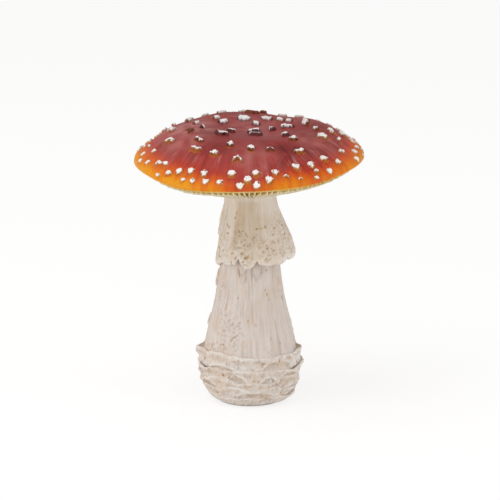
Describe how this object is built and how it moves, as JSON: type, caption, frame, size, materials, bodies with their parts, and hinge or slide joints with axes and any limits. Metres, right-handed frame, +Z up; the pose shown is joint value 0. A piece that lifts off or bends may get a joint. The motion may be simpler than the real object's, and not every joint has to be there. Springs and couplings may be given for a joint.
{
  "type": "mushroom ornament",
  "caption": "Free-standing toadstool ornament: domed red cap with white warts, gills, torn skirt, hollow tapering stem and a scaly bulb on a flat foot.",
  "frame": {"origin": "on the stem's axis, in the plane that the foot pad rests on", "axes": "+Z up along the stem; the front is towards -Y, where the tongue of the skirt hangs; +X is to the right seen from the front"},
  "size_m": [0.1504, 0.1513, 0.1875],
  "materials": {
    "cap_ceramic": "cold-painted red to orange, satin varnish",
    "wart_ceramic": "cold-painted warm white, matte",
    "gill_ceramic": "cold-painted cream with ochre in the grooves, matte",
    "stem_ceramic": "pinkish beige with a brown wash in the hollows, matte",
    "skirt_ceramic": "beige with a brown wash in the hollows, matte",
    "adhesive": "cured, wiped flush",
    "cork": "sanded cork sheet"
  },
  "bodies": {
    "root": {"cork_foot_pad": "cork", "stem": "stem_ceramic", "volva_foot_scales": "stem_ceramic", "volva_lower_scales": "stem_ceramic", "volva_middle_scales": "stem_ceramic", "volva_upper_scales": "stem_ceramic", "volva_collar_scales": "stem_ceramic", "veil_shreds": "stem_ceramic", "skirt": "skirt_ceramic", "skirt_upper_fold": "skirt_ceramic", "cap_bond": "adhesive", "gill_plate": "gill_ceramic", "cap_shell": "cap_ceramic", "warts_crown": "wart_ceramic", "warts_inner_ring": "wart_ceramic", "warts_outer_ring": "wart_ceramic", "warts_shoulder_ring": "wart_ceramic", "warts_margin_ring": "wart_ceramic"}
  },
  "joints": []
}
